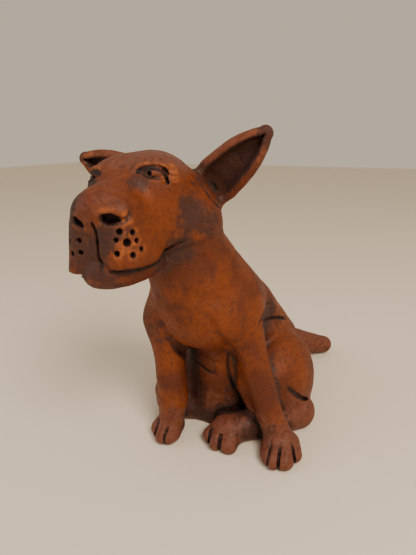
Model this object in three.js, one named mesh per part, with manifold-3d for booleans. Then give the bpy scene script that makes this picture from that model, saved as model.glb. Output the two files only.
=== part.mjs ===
// A seated terracotta dog, modelled by hand in clay: a big square muzzle, leaf-shaped ears,
// straight front legs splayed a little, hind feet tucked in between them and a short tail.
// The form is a signed-distance sculpt: masses melted together, then hollows and creases cut in.
// Axes: +X is the dog's left, the dog faces -Y, +Z is up. The underside rests on z = 0.
import * as THREE from "three";
import Module from "manifold-3d";
import { triTable } from "three/addons/objects/MarchingCubes.js";
import { mergeVertices } from "three/addons/utils/BufferGeometryUtils.js";

// The dog's height in millimetres, from the table to just above the tip of the taller ear.
const height = 300;

// Every place and size of the pose is a share of the height, counted in three-hundredths.
const pose = {
  skull: { at: [-47, -50, 232], turnLeft: 3.5, tiltLeftUp: 4.5 },
  skullRadii: [40, 44, 40],
  cheekRadii: [30, 32, 31],
  muzzle: { length: 81, halfWidth: 26, top: 20, lip: -32 },
  whiskerPitDepth: 5,
  nose: { reach: 66, halfWidth: 22 },
  eye: { side: 26.3, level: 30.4, turnOut: 24, droop: 19 },
  socket: { halfLength: 10, above: 5.4, below: 2.6, depth: 6.5 },
  eyeball: { radii: [7, 5.5, 4], sunk: 1.8, outward: 2.4, raised: 0.9 },
  ear: { width: 43, thickness: 13, cup: 5, rim: 8, dish: 8 },
  neckRadius: 36,
  chestRadii: [44, 36, 36],
  frontLegRadius: 14,
  toeWidening: 1,
  haunchRadii: [36, 50, 49],
  hindFootRadius: 15,
  tail: { rootRadius: 17, tipRadius: 11.5 },
};

// How finely the form is sampled, in three-hundredths of the height, and how many faces stay.
const sampleStep = 2;
const faceBudget = 8300;

// The room that the form is sampled in, with space to spare on every side but the table's.
const room = { low: [-190, -180, -8], high: [120, 270, 360] };

const unit = height / 300;

// Masses. Each is a function of a point that gives its distance, negative inside.

function ball([cx, cy, cz], [rx, ry, rz], turn = null) {
  const back = turn ? inverseTurn(turn) : null;
  return (x, y, z) => {
    let px = x - cx;
    let py = y - cy;
    let pz = z - cz;
    if (back) {
      [px, py, pz] = [
        back[0] * px + back[3] * py + back[6] * pz,
        back[1] * px + back[4] * py + back[7] * pz,
        back[2] * px + back[5] * py + back[8] * pz,
      ];
    }
    const near = Math.hypot(px / rx, py / ry, pz / rz);
    const slope = Math.hypot(px / (rx * rx), py / (ry * ry), pz / (rz * rz));
    return slope > 0 ? (near * (near - 1)) / slope : -Math.min(rx, ry, rz);
  };
}

// The inverse of a turn given in degrees about X, Y and Z, as nine numbers, column by column.
function inverseTurn([aboutX, aboutY, aboutZ]) {
  const angles = [aboutX, aboutY, aboutZ].map(THREE.MathUtils.degToRad);
  const matrix = new THREE.Matrix4().makeRotationFromEuler(new THREE.Euler(...angles, "XYZ"));
  return new THREE.Matrix3().setFromMatrix4(matrix).transpose().elements;
}

// A limb: a round bar from one point to another, its radius running from one value to the next.
function limb([ax, ay, az], startRadius, [bx, by, bz], endRadius) {
  const dx = bx - ax;
  const dy = by - ay;
  const dz = bz - az;
  const square = dx * dx + dy * dy + dz * dz;
  return (x, y, z) => {
    const share = ((x - ax) * dx + (y - ay) * dy + (z - az) * dz) / square;
    const t = Math.min(1, Math.max(0, share));
    const gap = Math.hypot(x - ax - t * dx, y - ay - t * dy, z - az - t * dz);
    return gap - startRadius - t * (endRadius - startRadius);
  };
}

function limbChain(...stations) {
  const bars = stations.slice(1).map((to, index) => {
    const from = stations[index];
    return limb(from.at, from.radius, to.at, to.radius);
  });
  return melt(2, ...bars);
}

function roundedBlock([cx, cy, cz], [hx, hy, hz], edge) {
  return (x, y, z) => {
    const qx = Math.abs(x - cx) - hx + edge;
    const qy = Math.abs(y - cy) - hy + edge;
    const qz = Math.abs(z - cz) - hz + edge;
    const outside = Math.hypot(Math.max(qx, 0), Math.max(qy, 0), Math.max(qz, 0));
    return outside + Math.min(Math.max(qx, qy, qz), 0) - edge;
  };
}

// An upright drum: an ellipse in plan, with its top and bottom edges rounded.
function drum([cx, cy, cz], [rx, ry, halfHeight], edge) {
  return (x, y, z) => {
    const plan = Math.hypot((x - cx) / rx, (y - cy) / ry);
    const slope = Math.hypot((x - cx) / (rx * rx), (y - cy) / (ry * ry));
    const outward = (slope > 0 ? (plan * (plan - 1)) / slope : -rx) + edge;
    const upward = Math.abs(z - cz) - halfHeight + edge;
    const corner = Math.hypot(Math.max(outward, 0), Math.max(upward, 0));
    return corner + Math.min(Math.max(outward, upward), 0) - edge;
  };
}

// Joins and cuts between masses, with a fillet of the given size.

function meltPair(a, b, fillet) {
  const overlap = Math.max(fillet - Math.abs(a - b), 0) / fillet;
  return Math.min(a, b) - (overlap * overlap * fillet) / 4;
}

function melt(fillet, ...masses) {
  return (x, y, z) => {
    let distance = masses[0](x, y, z);
    for (let i = 1; i < masses.length; i += 1) {
      distance = meltPair(distance, masses[i](x, y, z), fillet);
    }
    return distance;
  };
}

function carve(fillet, mass, ...cutters) {
  return (x, y, z) => {
    let distance = mass(x, y, z);
    for (const cutter of cutters) {
      distance = -meltPair(-distance, cutter(x, y, z), fillet);
    }
    return distance;
  };
}

// A crease pressed in along a path. pick gives the coordinates to measure from the path, two on a
// plane and a nought or all three in space, and how far the place is pushed along the third axis.
// A crease of negative depth is a raised fold. It runs out to nothing over the first and the last
// fifth of its path.
function crease(pick, path, width, depth, [from, to] = [-1, 1]) {
  let total = 0;
  const legs = path.slice(1).map(([bu, bv, bw = 0], index) => {
    const [au, av, aw = 0] = path[index];
    const length = Math.hypot(bu - au, bv - av, bw - aw);
    total += length;
    return { au, av, aw, du: bu - au, dv: bv - av, dw: bw - aw, length, start: total - length };
  });
  const runOut = total / 5;
  return (x, y, z) => {
    const [u, v, w, along] = pick(x, y, z);
    if (along < from || along > to) {
      return 0;
    }
    let deepest = 0;
    for (const { au, av, aw, du, dv, dw, length, start } of legs) {
      const share = ((u - au) * du + (v - av) * dv + (w - aw) * dw) / (length * length);
      const t = Math.min(1, Math.max(0, share));
      const gap = Math.hypot(u - au - t * du, v - av - t * dv, w - aw - t * dw);
      const fall = 1 - gap / width;
      if (fall > 0) {
        const place = start + t * length;
        const fade = Math.min(1, place / runOut, (total - place) / runOut);
        deepest = Math.max(deepest, fade * fall * fall * (3 - 2 * fall));
      }
    }
    return depth * deepest;
  };
}

const inSpace = (x, y, z) => [x, y, z, 0];
const onEitherSide = (x, y, z) => [Math.abs(x), y, z, 0];
const fromAbove = (x, y, z) => [x, y, 0, z];
const fromFront = (x, y, z) => [x, z, 0, y];
const fromSide = (x, y, z) => [y, z, 0, x];

function pressed(mass, ...creases) {
  return (x, y, z) => {
    let distance = mass(x, y, z);
    if (distance < -20 || distance > 20) {
      return distance;
    }
    for (const cut of creases) {
      distance += cut(x, y, z);
    }
    return distance;
  };
}

// The head, in a frame of its own: side to the dog's left, reach to its nose, level upwards.

const headMatrix = (() => {
  const { at, turnLeft, tiltLeftUp } = pose.skull;
  const turn = THREE.MathUtils.degToRad(turnLeft);
  const tilt = THREE.MathUtils.degToRad(tiltLeftUp);
  const ahead = new THREE.Vector3(Math.sin(turn), -Math.cos(turn), 0);
  const flatSide = new THREE.Vector3(Math.cos(turn), Math.sin(turn), 0);
  const up = new THREE.Vector3(0, 0, 1);
  const side = flatSide.clone().multiplyScalar(Math.cos(tilt)).addScaledVector(up, Math.sin(tilt));
  const level = up.multiplyScalar(Math.cos(tilt)).addScaledVector(flatSide, -Math.sin(tilt));
  return new THREE.Matrix4().makeBasis(side, ahead, level).setPosition(...at);
})();

function headFrame(mass) {
  const m = headMatrix.clone().invert().elements;
  return (x, y, z) => mass(
    m[0] * x + m[4] * y + m[8] * z + m[12],
    m[1] * x + m[5] * y + m[9] * z + m[13],
    m[2] * x + m[6] * y + m[10] * z + m[14],
  );
}

const mirrored = (mass) => (side, reach, level) => mass(Math.abs(side), reach, level);

// The whisker pads are upright drums at the front corners of the muzzle.
const pad = {
  left: 11.5,
  right: -13,
  reach: pose.muzzle.length - 25,
  radii: [pose.muzzle.halfWidth - 10, 25],
  halfHeight: 22,
  edge: 7,
};

// A hanging lip: a pad that hangs by the given drop below the lip's level and leans outwards
// towards its lower edge by the given share of its height.
function flew(side, drop, lean) {
  const level = pose.muzzle.lip + pad.halfHeight - drop;
  const middle = [Math.abs(side), pad.reach, level];
  const upright = drum(middle, [...pad.radii, pad.halfHeight], pad.edge);
  const hand = Math.sign(side);
  return (x, y, z) => upright(hand * x + lean * z, y, z);
}

function bareHead() {
  const { muzzle, nose } = pose;
  const skull = ball([0, 0, 8], pose.skullRadii);
  const brow = mirrored(ball([18, 22, 23], [21, 20, 20]));
  const cheek = mirrored(ball([21, -14, -10], pose.cheekRadii));
  const snoutRoot = ball([0, 24, -2], [30, 38, 30]);
  const middle = (muzzle.top + muzzle.lip) / 2;
  const snoutHalf = [muzzle.halfWidth - 3, muzzle.length / 2 - 3, (muzzle.top - muzzle.lip) / 2];
  const snout = roundedBlock([0, muzzle.length / 2 - 3, middle], snoutHalf, 10);
  const bridge = ball([0, 46, 14], [19, 36, 16]);
  const bulb = ball([1, nose.reach, 9], [nose.halfWidth, 17, 13]);
  const wing = ball([nose.halfWidth - 3, nose.reach + 1, 9], [8, 9, 7.5]);
  const betweenPads = ball([0, 60, -12], [13, 18, 24]);
  const back = melt(16, skull, cheek, snoutRoot, brow);
  const flews = [flew(pad.left, 0, 0.13), flew(pad.right, 5, 0.24)];
  return melt(8, back, bridge, snout, melt(8, bulb, wing, betweenPads, ...flews));
}

function head() {
  const jaw = drum([-3, 44, -34], [27, 38, 11.5], 10.5);
  return melt(2, pressed(nostrils(bareHead()), ...faceCreases()), jaw);
}

function nostrils(solid) {
  const left = melt(
    1,
    limbChain(
      { at: [13.5, 82, 6.8], radius: 3.6 },
      { at: [17, 80.5, 6], radius: 4.2 },
      { at: [21, 78.5, 5], radius: 2.6 },
      { at: [24.5, 75.5, 3.8], radius: 2 },
      { at: [27.5, 71.5, 8], radius: 1.6 },
    ),
    limb([13, 76, 6.5], 4.6, [20, 72, 5.5], 3),
  );
  const right = melt(
    1,
    limbChain(
      { at: [-13.7, 80.5, 6.4], radius: 2.2 },
      { at: [-10.1, 81.5, 5], radius: 3.4 },
      { at: [-6.8, 82, 3], radius: 3.2 },
      { at: [-4.7, 82, 0], radius: 1.6 },
    ),
    limb([-11, 76, 6], 3.4, [-6, 77, 3], 3),
  );
  return carve(1.2, solid, left, right);
}

function faceCreases() {
  const philtrum = [
    [3.6, 6], [4.6, -1], [3.6, -8], [2.5, -14], [1.2, -19.5], [2, -24], [4.5, -28], [5.5, -36],
  ];
  const mouth = [
    [84, -31], [74, -31], [66, -32], [54, -33.5], [46, -34], [37, -32.6], [28, -29.5], [20, -26.8],
    [15.7, -24.1], [10, -22],
  ];
  const rightMouth = mouth.map(([reach, level]) => [reach, level - 3.5]);
  const lid = [
    [15, 42, 33], [20.3, 40, 34.6], [24.6, 38.1, 35], [28.3, 36, 34.8], [33.9, 32.2, 32.5],
    [38, 27, 30.2],
  ];
  const brow = [[12, 41, 38], [20, 39, 40.5], [28, 35, 40], [35, 29, 37]];
  return [
    crease(fromFront, philtrum, 4, 4, [55, 100]),
    crease(fromSide, mouth, 4.5, 4, [8, 60]),
    crease(fromSide, rightMouth, 4.5, 4, [-60, -8]),
    crease(onEitherSide, lid, 3.6, 3),
    crease(onEitherSide, brow, 6, -1.2),
  ];
}

// One ear: a leaf of clay dished on its front, from the root on the skull to its tip.
function ear(root, tip, facing) {
  const along = new THREE.Vector3(...tip).sub(new THREE.Vector3(...root));
  const reach = along.length();
  along.normalize();
  const front = new THREE.Vector3(...facing);
  front.addScaledVector(along, -front.dot(along)).normalize();
  const across = new THREE.Vector3().crossVectors(along, front);
  const { width, thickness, cup, rim, dish } = pose.ear;
  const round = thickness / 2;
  const halfWidth = (t) => {
    const taper = Math.min(1, 0.85 + 0.8 * t) * (1 - 0.2 * t - 0.72 * t ** 4);
    return Math.max(round, (width / 2) * taper);
  };
  return (x, y, z) => {
    const px = x - root[0];
    const py = y - root[1];
    const pz = z - root[2];
    const a = px * along.x + py * along.y + pz * along.z;
    const s = px * across.x + py * across.y + pz * across.z;
    const d = px * front.x + py * front.y + pz * front.z;
    const t = Math.min(1, Math.max(0, a / reach));
    const half = halfWidth(t);
    const depth = d + cup * (1 - t) * Math.max(0, 1 - (s / half) ** 2);
    const past = Math.max(0, a - reach + round, -a);
    const leaf = Math.hypot(Math.max(0, Math.abs(s) - half + round), depth, past) - round;
    const inner = Math.max(1, half - rim);
    const pit = ellipsoidGap(s, depth - round, Math.max(0, a - reach * 0.8), inner, dish);
    return -meltPair(-leaf, pit, 3);
  };
}

function ellipsoidGap(s, depth, past, halfWidth, halfDepth) {
  const near = Math.hypot(s / halfWidth, depth / halfDepth, past / halfDepth);
  const slope = Math.hypot(s / halfWidth ** 2, depth / halfDepth ** 2, past / halfDepth ** 2);
  return slope > 0 ? (near * (near - 1)) / slope : -Math.min(halfWidth, halfDepth);
}

// The body from the neck down.

function trunk() {
  const chest = ball([-20, -16, 134], pose.chestRadii);
  const spine = limbChain(
    { at: [-23, -8, 172], radius: 35 },
    { at: [-12, 42, 112], radius: 43 },
    { at: [-3, 90, 54], radius: 48 },
  );
  const neck = limb([-28, -22, 165], pose.neckRadius + 2, [-38, -30, 222], pose.neckRadius);
  const belly = limb([-18, 20, 92], 36, [-18, 26, 16], 34);
  const seat = limb([-18, 26, 16], 34, [-5, 88, 26], 34);
  const leftShoulder = ball([6, 2, 134], [27, 30, 36]);
  const rightShoulder = ball([-54, -14, 128], [25, 28, 36]);
  return melt(14, spine, chest, neck, belly, seat, leftShoulder, rightShoulder);
}

function bodyCreases() {
  const leftArmpit = [
    [-2, -50, 149], [4.3, -46, 137.8], [6.4, -44.6, 131], [9.9, -37.9, 119.2], [11.6, -26.8, 108.4],
    [14.1, -21.3, 100], [16, -18, 92],
  ];
  const rightArmpit = [
    [-54, -46, 140], [-51.4, -46.8, 131.7], [-47.1, -47.1, 126.6], [-42.5, -44.8, 116.4],
    [-38.2, -38.5, 104.2], [-36.3, -27.9, 91], [-36, -22, 80],
  ];
  const bellyFold = [
    [-40, -6, 74], [-32.8, -11, 73.3], [-24.5, -13.4, 71], [-17.6, -13.6, 67.3], [-6, -11.5, 64],
  ];
  const upperFold = [
    [-34, -13, 91], [-30.7, -14.1, 88], [-16.7, -15, 80.6], [-4.9, -12.2, 77.8], [2, -9, 79],
  ];
  const thigh = [
    [52, 8, 64], [55.7, 10.9, 59.6], [60, 14.6, 52.4], [63.8, 20.2, 45.1], [68, 29, 37], [71, 42, 28],
  ];
  const loin = [
    [28, 20, 112.5], [28.8, 25.1, 113.3], [30.8, 34.2, 113.5], [32.1, 44.6, 111.2],
    [33.2, 56, 107.5], [36, 72.4, 100.3], [34, 84, 94],
  ];
  const flank = [[34.3, -12, 127], [34.6, 1, 134.8], [30.2, 19.6, 132], [27.3, 34.3, 131.1], [26, 44, 129]];
  const flankHollow = [[34, -2, 127], [30, 18, 123], [29, 32, 121], [30, 50, 117]];
  const earFold = [
    [-8, -39, 253], [-4.8, -37.3, 249.8], [0.3, -31.5, 240.6], [1.3, -26.1, 236.2], [-2, -10, 231],
  ];
  const knee = [
    [5, -9, 92], [4.2, -7.7, 84.5], [3.6, -7.1, 75.2], [4.8, -4.7, 62.9], [7.6, -0.9, 50], [12, 0, 40],
  ];
  const jowl = [[-10, 211], [-18, 211], [-39.5, 208.5], [-58, 204], [-66, 201.5], [-83, 200.7]];
  return [
    crease(inSpace, leftArmpit, 6, 3.5),
    crease(inSpace, rightArmpit, 7, 3.5),
    crease(inSpace, bellyFold, 4, 2.4),
    crease(inSpace, upperFold, 4, 1.6),
    crease(inSpace, thigh, 4.5, 3.5),
    crease(inSpace, loin, 4.5, 4),
    crease(inSpace, flank, 6, 3.4),
    crease(inSpace, flankHollow, 13, 4),
    crease(inSpace, earFold, 4, 3),
    crease(inSpace, knee, 4, 2),
    crease(fromSide, [[8, 117], [30, 111], [58, 105]], 12, 2.5, [5, 70]),
    crease(fromSide, [[2, 56], [12, 50], [24, 42], [42, 28]], 6, 5, [-120, -50]),
    crease(fromSide, jowl, 8, 1.8, [-130, 60]),
  ];
}

function frontLegs() {
  const radius = pose.frontLegRadius;
  const left = limbChain(
    { at: [15, -4, 124], radius: radius + 3.5 },
    { at: [30, -8, 90], radius },
    { at: [49, -12, 38], radius: radius - 1.5 },
    { at: [61, -14, 15], radius: radius - 0.5 },
  );
  const right = limbChain(
    { at: [-59, -25, 120], radius: radius + 4.5 },
    { at: [-50, -30, 84], radius: radius + 1 },
    { at: [-44.5, -35, 40], radius: radius + 1 },
    { at: [-47, -38, 14], radius: radius - 2 },
  );
  return melt(12, left, right);
}

// A toe runs from its root in the palm to its tip, whose radius is given.
function toe(root, tip, radius) {
  return limb(root, radius + pose.toeWidening, tip, radius);
}

function frontPaws() {
  const left = melt(
    5,
    ball([61, -17, 9], [17, 18, 11]),
    toe([57, -16, 12], [55.5, -31, 7.5], 8),
    toe([60, -18, 13], [62, -36, 8], 8.5),
    toe([66, -16, 13], [72, -32, 8], 8.5),
    toe([70, -8, 11], [77, -20, 8], 7.5),
  );
  const right = melt(
    5,
    ball([-49, -39, 9], [14, 17, 11]),
    toe([-53, -36, 11], [-57, -46, 8], 7.5),
    toe([-49, -40, 12], [-47, -53, 8], 8.5),
    toe([-45, -40, 12], [-40.5, -52, 8], 7.5),
    toe([-42, -36, 11], [-38, -46, 7], 6),
  );
  const cuts = [
    [[57, -24], [59.5, -46]],
    [[65.5, -25], [69.5, -46]],
    [[72, -16], [81, -31]],
    [[-56, -42], [-52, -62]],
    [[-43, -42], [-41, -62]],
    [[-40.5, -40], [-36, -52]],
  ];
  return pressed(melt(3, left, right), ...cuts.map((cut) => crease(fromAbove, cut, 3, 2.8, [-4, 22])));
}

function haunches() {
  const leftThigh = ball([37, 51, 44], pose.haunchRadii, [0, -9, 0]);
  const leftKnee = melt(
    6,
    limb([36, 40, 56], 28, [27, 12, 56], 17),
    limbChain(
      { at: [20, 2, 78], radius: 11 },
      { at: [25, 0, 58], radius: 14.5 },
      { at: [33, 2, 38], radius: 14 },
    ),
  );
  const rightThigh = ball([-52, 48, 45], pose.haunchRadii, [0, 9, 0]);
  const rightKnee = limb([-54, 40, 52], 28, [-64, -7, 29], 19);
  return melt(8, melt(10, leftThigh, leftKnee), melt(10, rightThigh, rightKnee));
}

function hindFeet() {
  const radius = pose.hindFootRadius;
  const left = limbChain(
    { at: [62, 38, 14], radius: radius + 4 },
    { at: [33, 1, 14], radius: radius + 1 },
    { at: [12, -20, 13], radius: radius - 1 },
  );
  const right = limbChain(
    { at: [-72, 44, 13], radius },
    { at: [-68, -3, 14], radius: radius + 2 },
    { at: [-52, -6, 12], radius: radius - 1 },
    { at: [-34, 1, 12], radius: radius - 1 },
  );
  const toes = melt(
    4,
    limb([3, -20, 13], 11, [-4, -31, 8], 8.5),
    limb([8, -22, 13], 11, [4.5, -37, 8], 9),
    limb([15, -22, 13], 11, [17, -36, 8], 9),
  );
  const cuts = [[[-4, -28], [0, -46]], [[8, -28], [11.5, -48]]];
  return pressed(
    melt(7, left, right, toes),
    ...cuts.map((cut) => crease(fromAbove, cut, 3.2, 2.5, [-4, 18])),
  );
}

function tail() {
  const { rootRadius, tipRadius } = pose.tail;
  return limbChain(
    { at: [-4, 128, 30], radius: rootRadius + 5 },
    { at: [20, 174, 23.5], radius: rootRadius },
    { at: [51, 203, 12.5], radius: tipRadius },
  );
}

function dogForm() {
  const ears = melt(
    4,
    ear([-16, -12, 246], [38, -5, 296], [0.25, -0.9, -0.1]),
    ear([-74, -18, 248], [-136, -36, 274], [-0.25, -0.9, 0.1]),
  );
  const upper = melt(8, melt(12, trunk(), headFrame(head())), ears);
  const seated = melt(5, melt(6, melt(12, upper, frontLegs()), haunches()), hindFeet());
  return melt(8, melt(5, pressed(seated, ...bodyCreases()), frontPaws()), tail());
}

// Sampling: the distances on a grid, finely only in the blocks that the surface may cross.

function sampleForm(form, low, counts, step) {
  const [nx, ny, nz] = counts;
  const values = new Float32Array(nx * ny * nz).fill(1);
  const block = 4;
  const reach = step * block * 0.87 * 2.2;
  for (let k = 0; k < nz; k += block) {
    for (let j = 0; j < ny; j += block) {
      for (let i = 0; i < nx; i += block) {
        const middle = [i, j, k].map((n, axis) => low[axis] + (n + (block - 1) / 2) * step);
        const distance = form(...middle);
        const near = Math.abs(distance) < reach;
        for (let c = k; c < Math.min(k + block, nz); c += 1) {
          for (let b = j; b < Math.min(j + block, ny); b += 1) {
            for (let a = i; a < Math.min(i + block, nx); a += 1) {
              const place = a + nx * (b + ny * c);
              values[place] = near
                ? form(low[0] + a * step, low[1] + b * step, low[2] + c * step)
                : distance;
            }
          }
        }
      }
    }
  }
  return values;
}

// Marching cubes. Corners and edges are numbered as triTable expects them.
const cornerSteps = [
  [0, 0, 0], [1, 0, 0], [1, 1, 0], [0, 1, 0], [0, 0, 1], [1, 0, 1], [1, 1, 1], [0, 1, 1],
];
const edgeCorners = [
  [0, 1], [1, 2], [2, 3], [3, 0], [4, 5], [5, 6], [6, 7], [7, 4], [0, 4], [1, 5], [2, 6], [3, 7],
];

function marchCubes(values, low, counts, step) {
  const [nx, ny, nz] = counts;
  const offsets = cornerSteps.map(([a, b, c]) => a + nx * (b + ny * c));
  const vertices = [];
  const faces = [];
  const known = new Map();
  const vertexOn = (i, j, k, edge) => {
    const [first, second] = edgeCorners[edge];
    const origin = i + nx * (j + ny * k);
    const from = Math.min(origin + offsets[first], origin + offsets[second]);
    const to = Math.max(origin + offsets[first], origin + offsets[second]);
    const key = from * 3 + (to - from === 1 ? 0 : to - from === nx ? 1 : 2);
    if (!known.has(key)) {
      const share = values[from] / (values[from] - values[to]);
      const t = Math.min(0.94, Math.max(0.06, share));
      const place = [from % nx, Math.floor(from / nx) % ny, Math.floor(from / (nx * ny))];
      place[key % 3] += t;
      known.set(key, vertices.length);
      vertices.push(place.map((n, axis) => low[axis] + n * step));
    }
    return known.get(key);
  };
  for (let k = 0; k < nz - 1; k += 1) {
    for (let j = 0; j < ny - 1; j += 1) {
      for (let i = 0; i < nx - 1; i += 1) {
        const origin = i + nx * (j + ny * k);
        let code = 0;
        for (let corner = 0; corner < 8; corner += 1) {
          code |= values[origin + offsets[corner]] < 0 ? 1 << corner : 0;
        }
        for (let n = code * 16; triTable[n] !== -1 && n < code * 16 + 16; n += 3) {
          faces.push([0, 2, 1].map((m) => vertexOn(i, j, k, triTable[n + m])));
        }
      }
    }
  }
  return { vertices, faces };
}

// Simplification: edges are collapsed in the order of the error they bring, where the surface
// stays closed and no face turns over or shrinks to nothing, until the budget of faces is met.

// Long edges cost a little more, so flat places keep even faces.
const lengthCost = 1e-3;
const leastCosine = 0.25;
const leastTwiceArea = 0.05;

class Quadric {
  constructor() {
    this.q = new Float64Array(10);
  }

  addPlane(nx, ny, nz, d, weight) {
    const { q } = this;
    const terms = [nx * nx, nx * ny, nx * nz, nx * d, ny * ny, ny * nz, ny * d, nz * nz, nz * d, d * d];
    terms.forEach((term, i) => {
      q[i] += weight * term;
    });
  }

  add(other) {
    other.q.forEach((term, i) => {
      this.q[i] += term;
    });
  }

  error(x, y, z) {
    const { q } = this;
    const square = q[0] * x * x + q[4] * y * y + q[7] * z * z + q[9];
    const cross = q[1] * x * y + q[2] * x * z + q[5] * y * z;
    return square + 2 * (cross + q[3] * x + q[6] * y + q[8] * z);
  }
}

function faceNormal(a, b, c) {
  const ux = b[0] - a[0];
  const uy = b[1] - a[1];
  const uz = b[2] - a[2];
  const vx = c[0] - a[0];
  const vy = c[1] - a[1];
  const vz = c[2] - a[2];
  return [uy * vz - uz * vy, uz * vx - ux * vz, ux * vy - uy * vx];
}

// A heap of edges, the cheapest on top.
class EdgeHeap {
  constructor() {
    this.items = [];
  }

  push(item) {
    const { items } = this;
    let place = items.length;
    items.push(item);
    while (place > 0) {
      const parent = (place - 1) >> 1;
      if (items[parent].cost <= item.cost) {
        break;
      }
      items[place] = items[parent];
      place = parent;
    }
    items[place] = item;
  }

  pop() {
    const { items } = this;
    const top = items[0];
    const last = items.pop();
    let place = 0;
    while (items.length > 0) {
      let child = 2 * place + 1;
      if (child >= items.length) {
        break;
      }
      if (child + 1 < items.length && items[child + 1].cost < items[child].cost) {
        child += 1;
      }
      if (items[child].cost >= last.cost) {
        break;
      }
      items[place] = items[child];
      place = child;
    }
    if (items.length > 0) {
      items[place] = last;
    }
    return top;
  }
}

function simplify({ vertices, faces }, budget) {
  const quadrics = vertices.map(() => new Quadric());
  const facesAt = vertices.map(() => new Set());
  const version = new Int32Array(vertices.length);
  const alive = new Uint8Array(faces.length).fill(1);
  faces.forEach((face, index) => {
    const [a, b, c] = face.map((v) => vertices[v]);
    const normal = faceNormal(a, b, c);
    const twiceArea = Math.hypot(...normal) || 1e-9;
    const [nx, ny, nz] = normal.map((n) => n / twiceArea);
    const d = -(nx * a[0] + ny * a[1] + nz * a[2]);
    for (const v of face) {
      facesAt[v].add(index);
      quadrics[v].addPlane(nx, ny, nz, d, twiceArea);
    }
  });
  const neighbours = (v) => {
    const found = new Set();
    facesAt[v].forEach((f) => faces[f].forEach((w) => found.add(w)));
    found.delete(v);
    return found;
  };
  const heap = new EdgeHeap();
  const offer = (a, b) => {
    const sum = new Quadric();
    sum.add(quadrics[a]);
    sum.add(quadrics[b]);
    const middle = vertices[a].map((n, axis) => (n + vertices[b][axis]) / 2);
    const length = Math.hypot(...vertices[a].map((n, axis) => n - vertices[b][axis]));
    let best = null;
    for (const place of [vertices[a], vertices[b], middle]) {
      const cost = sum.error(...place) + lengthCost * length;
      if (!best || cost < best.cost) {
        best = { cost, place, a, b, stamp: version[a] + version[b] };
      }
    }
    heap.push(best);
  };
  vertices.forEach((_, v) => neighbours(v).forEach((w) => v < w && offer(v, w)));
  const turnsOver = (v, gone, place) => [...facesAt[v]].some((f) => {
    const face = faces[f];
    if (face.includes(gone)) {
      return false;
    }
    const before = faceNormal(...face.map((w) => vertices[w]));
    const after = faceNormal(...face.map((w) => (w === v ? place : vertices[w])));
    const dot = before[0] * after[0] + before[1] * after[1] + before[2] * after[2];
    const twiceArea = Math.hypot(...after);
    return dot < leastCosine * Math.hypot(...before) * twiceArea || twiceArea < leastTwiceArea;
  });
  let left = faces.length;
  while (left > budget && heap.items.length > 0) {
    const { a, b, place, stamp } = heap.pop();
    if (facesAt[a].size === 0 || facesAt[b].size === 0 || stamp !== version[a] + version[b]) {
      continue;
    }
    const around = neighbours(b);
    const shared = [...neighbours(a)].filter((w) => around.has(w));
    if (shared.length !== 2 || turnsOver(a, b, place) || turnsOver(b, a, place)) {
      continue;
    }
    for (const f of [...facesAt[b]]) {
      if (faces[f].includes(a)) {
        faces[f].forEach((w) => facesAt[w].delete(f));
        alive[f] = 0;
        left -= 1;
      } else {
        faces[f] = faces[f].map((w) => (w === b ? a : w));
        facesAt[a].add(f);
      }
    }
    facesAt[b].clear();
    vertices[a] = place;
    quadrics[a].add(quadrics[b]);
    version[a] += version[b] + 1;
    neighbours(a).forEach((w) => offer(Math.min(a, w), Math.max(a, w)));
  }
  return { vertices, faces: faces.filter((_, index) => alive[index]) };
}

// Closed meshes as solids, for the cuts that need crisp edges.

const wasm = await Module();
wasm.setup();

// The solid inside a closed geometry that is drawn in the given frame. A frame that mirrors
// turns every face over, so its corners are read backwards.
function solidOf(geometry, frame) {
  geometry.deleteAttribute("normal");
  geometry.deleteAttribute("uv");
  geometry.applyMatrix4(frame);
  const merged = mergeVertices(geometry, 1e-3);
  const corners = [...merged.index.array];
  return new wasm.Manifold(new wasm.Mesh({
    numProp: 3,
    vertProperties: merged.attributes.position.array,
    triVerts: new Uint32Array(frame.determinant() < 0 ? corners.reverse() : corners),
  }));
}

const upright = new THREE.Matrix4();

function meshSolid({ vertices, faces }) {
  const geometry = new THREE.BufferGeometry();
  const positions = new Float32Array(faces.flat().flatMap((v) => vertices[v]));
  geometry.setAttribute("position", new THREE.BufferAttribute(positions, 3));
  return solidOf(geometry, upright);
}

function blockBelowTable() {
  const { low, high } = room;
  const width = 2 * (high[0] - low[0]);
  const length = 2 * (high[1] - low[1]);
  const depth = -2 * low[2];
  const box = new THREE.BoxGeometry(width, length, depth).translate(0, 0, -depth / 2);
  return solidOf(box, upright);
}

// How far ahead the head's skin lies at a place on its front, found by halving.
function skinReach(mass, side, level) {
  let inside = 0;
  let outside = 2 * pose.muzzle.length;
  while (outside - inside > 0.01) {
    const middle = (inside + outside) / 2;
    if (mass(side, middle, level) < 0) {
      inside = middle;
    } else {
      outside = middle;
    }
  }
  return inside;
}

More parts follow.
